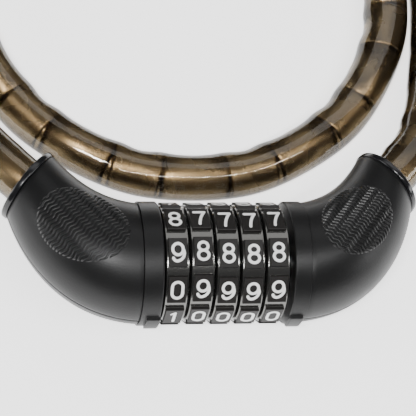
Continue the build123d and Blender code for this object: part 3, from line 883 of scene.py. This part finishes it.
# %% Elbow skins
ELBOW_RADIUS = 22.2
RIM_RADIUS = 14.2
ELBOW_WALL = 2.3 * MM
ELBOW_STEPS = 28
ELBOW_SEGMENTS = 96
SEAM = 0.12 * MM
ELBOW_EDGE = 0.3 * MM
ELBOW_EDGE_ANGLE = math.radians(50)


def elbow_section(curve, tilt, side, share):
    """Centre, direction and radius of the elbow's section at a share of its length."""
    weights = ((1 - share) ** 2, 2 * share * (1 - share), share**2)
    x = sum(w * p[0] for w, p in zip(weights, curve))
    y = sum(w * p[1] for w, p in zip(weights, curve))
    radius = ELBOW_RADIUS + (RIM_RADIUS - ELBOW_RADIUS) * share**2
    return lock_point(x, y), exit_direction(tilt * share, side), radius * MM


def elbow_half(name, curve, tilt, side, upper):
    """One half of an elbow, from its skin cut at the parting line."""
    bm = bmesh.new()
    shares = [i / ELBOW_STEPS for i in range(ELBOW_STEPS + 1)]
    sections = [elbow_section(curve, tilt, side, share) for share in shares]
    places = [(point, ahead, Z_UP.cross(ahead), Z_UP) for point, ahead, _ in sections]
    sweep_skin(bm, places, ELBOW_SEGMENTS, lambda step, angle: sections[step][2])
    level = AXIS_Z + (SEAM if upper else -SEAM)
    bmesh.ops.bisect_plane(
        bm,
        geom=list(bm.verts) + list(bm.edges) + list(bm.faces),
        plane_co=(0, 0, level),
        plane_no=(0, 0, -1 if upper else 1),
        clear_outer=True,
    )
    if not upper:
        for vertex in bm.verts:
            vertex.co.z = max(vertex.co.z, 0.0)
    bmesh.ops.recalc_face_normals(bm, faces=bm.faces)
    skin_middle = sum((v.co for v in bm.verts), Vector()) / len(bm.verts)
    outward = sum(f.normal.dot(f.calc_center_median() - skin_middle) for f in bm.faces)
    if outward < 0:
        bmesh.ops.reverse_faces(bm, faces=bm.faces)
    piece = mesh_object(name, bm, housing)
    wall = piece.modifiers.new("wall", "SOLIDIFY")
    wall.thickness = ELBOW_WALL
    wall.offset = -1
    edge = piece.modifiers.new("edge", "BEVEL")
    edge.width = ELBOW_EDGE
    edge.segments = 2
    edge.limit_method = "ANGLE"
    edge.angle_limit = ELBOW_EDGE_ANGLE
    return piece


ENDS = {
    "left": (LEFT_ELBOW, LEFT_TILT, -1, "root"),
    "right": (RIGHT_ELBOW, RIGHT_TILT, 1, "bolt"),
}
for end_name, (curve, tilt, side, body) in ENDS.items():
    for half in ("upper", "lower"):
        node = f"{end_name}_elbow_{half}"
        shell = elbow_half(f"{node}_shell", curve, tilt, side, half == "upper")
        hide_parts(node)
        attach(shell, body)
        print(shell.name, "faces", len(shell.data.polygons))

# %% [markdown]
# The grips are ovals of wavy ribs moulded into the tops of the elbows, where a thumb and a finger
# pull the lock open. A bump in the material could draw them, but they would look painted on from
# the side and would be lost in the exported mesh. So a fine grid is laid on the elbow, and each of
# its points is lifted by a smooth wave whose ridges sway from side to side and fade at the rim.

# %% Grip ribs
GRIP_CELL = 0.21
RIB_PITCH = 1.5
RIB_HEIGHT = 0.62
RIB_VALLEY, RIB_TOP = -0.8, 0.5
WAVE_PERIOD = 3.9
WAVE_REACH = 0.34
FADE_FROM, FADE_TO, OVAL_EDGE = 0.93, 1.0, 1.02
SINK = 0.16
SECTIONS_TRIED = 240
STEEPEST = 0.97


def smooth_between(low, high, value):
    """0 below low, 1 above high, and a smooth rise between them."""
    share = min(max((value - low) / (high - low), 0.0), 1.0)
    return share * share * (3 - 2 * share)


def surface_over(sections, x, y):
    """The elbow's upper surface over a point of the plan, with its outward normal."""
    centre_here, ahead, radius = min(
        sections, key=lambda s: abs((x - s[0].x) * s[1].x + (y - s[0].y) * s[1].y)
    )
    across = Z_UP.cross(ahead)
    drift = Vector((x - centre_here.x, y - centre_here.y, 0)).dot(across)
    drift = max(-radius * STEEPEST, min(radius * STEEPEST, drift))
    lift = math.sqrt(radius**2 - drift**2)
    normal = (across * drift + Z_UP * lift).normalized()
    return Vector((x, y, centre_here.z + lift)), normal


def grip(name, end_name, middle_xy, half_sizes, lean, rib_lean):
    """One oval of ribs. lean turns the oval and rib_lean turns the ribs, in degrees."""
    curve, tilt, side, body = ENDS[end_name]
    grip_long, grip_wide = half_sizes
    bm = bmesh.new()
    count_x = int(2 * grip_long / GRIP_CELL)
    count_y = int(2 * grip_wide / GRIP_CELL)
    bmesh.ops.create_grid(bm, x_segments=count_x, y_segments=count_y, size=1.0)
    shares = [i / SECTIONS_TRIED for i in range(SECTIONS_TRIED + 1)]
    sections = [elbow_section(curve, tilt, side, share) for share in shares]
    turn_oval = Matrix.Rotation(math.radians(lean), 2)
    turn_rib = Matrix.Rotation(math.radians(-rib_lean), 2)
    outside = []
    for vertex in bm.verts:
        u, v = vertex.co.x, vertex.co.y
        from_middle = math.hypot(u, v)
        plan = turn_oval @ Vector((u * grip_long, v * grip_wide))
        along_rib, across_rib = turn_rib @ plan
        wave = math.sin(2 * math.pi * along_rib / WAVE_PERIOD)
        phase = 2 * math.pi * (across_rib + WAVE_REACH * wave) / RIB_PITCH
        ridge = smooth_between(RIB_VALLEY, RIB_TOP, math.cos(phase))
        fade = 1 - smooth_between(FADE_FROM, FADE_TO, from_middle)
        place = lock_point(middle_xy[0] + plan.x, middle_xy[1] + plan.y)
        foot, normal = surface_over(sections, place.x, place.y)
        vertex.co = foot + normal * (RIB_HEIGHT * ridge * fade - SINK) * MM
        if from_middle > OVAL_EDGE:
            outside.append(vertex)
    bmesh.ops.delete(bm, geom=outside, context="VERTS")
    bmesh.ops.recalc_face_normals(bm, faces=bm.faces)
    if sum(f.normal.z for f in bm.faces) < 0:
        bmesh.ops.reverse_faces(bm, faces=bm.faces)
    piece = mesh_object(name, bm, grip_rubber)
    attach(piece, body)
    print(name, "faces", len(piece.data.polygons))


grip("left_grip_ribs", "left", (-51.3, 8.7), (17.8, 13.6), -34.5, 38.0)
grip("right_grip_ribs", "right", (49.8, 10.3), (16.6, 12.8), 45.0, -38.0)

# %% [markdown]
# The lock lies on a plain pale floor. Lamps strong enough to make the floor white would also grey
# the black plastic, so the floor glows by itself and the lamps stay weak.

# %% Floor
FLOOR_SIZE = 4.0
FLOOR_GLOW = 1.7
bm = bmesh.new()
bmesh.ops.create_grid(bm, x_segments=1, y_segments=1, size=FLOOR_SIZE / 2)
floor_material, _, floor_shader, _ = finish_material(
    "pale floor", (0.92, 0.92, 0.92), 0.8, grain=80.0, bump=0.0
)
floor_shader.inputs["Emission Color"].default_value = (1, 1, 1, 1)
floor_shader.inputs["Emission Strength"].default_value = FLOOR_GLOW
floor = mesh_object("floor", bm, floor_material, smooth=False)
print("floor", FLOOR_SIZE, "m square")

# %% [markdown]
# Black plastic and clear sheath show mostly what they reflect, so the lamps are shaped for that.
# One big softbox would wash them out. A long narrow strip high in front draws the bright line
# along the cable, a wide box behind fills the notches of the dials, a low box on each side edges
# the elbows, and a small lamp near the camera lifts the numbers. The room itself stays dim, so
# that black reads as black.

# %% Lamps
ROOM_COLOUR = (0.95, 0.96, 1.0, 1)
ROOM_STRENGTH = 0.06
LOCK_FOOT = (0.0, 0.0, 0.0)
LAMPS = [
    # name, place, width and depth, power in watts, target
    ("front strip", (0.25, -0.43, 1.28), (1.3, 0.035), 11, (0.02, 0.03, 0.0)),
    ("rear box", (0.25, 0.8, 1.05), (1.5, 0.6), 4, LOCK_FOOT),
    ("left box", (-1.1, -0.1, 0.4), (0.5, 0.3), 3, LOCK_FOOT),
    ("right box", (1.1, -0.3, 0.35), (0.5, 0.3), 3, LOCK_FOOT),
    ("camera lamp", (-0.3, -0.3, 0.9), (0.12, 0.12), 6, LOCK_FOOT),
]


def softbox(name, place, size, power, target):
    """A rectangular lamp at a place, turned towards a target."""
    lamp = bpy.data.lights.new(name, "AREA")
    lamp.shape = "RECTANGLE"
    lamp.size, lamp.size_y = size
    lamp.energy = power
    holder = bpy.data.objects.new(name, lamp)
    holder.location = place
    towards = Vector(target) - Vector(place)
    holder.rotation_euler = towards.to_track_quat("-Z", "Y").to_euler()
    bpy.context.scene.collection.objects.link(holder)


for lamp_values in LAMPS:
    softbox(*lamp_values)
room = bpy.data.worlds.new("room")
room.use_nodes = True
background = room.node_tree.nodes["Background"]
background.inputs["Color"].default_value = ROOM_COLOUR
background.inputs["Strength"].default_value = ROOM_STRENGTH
bpy.context.scene.world = room
print("lamps", len(bpy.data.lights))
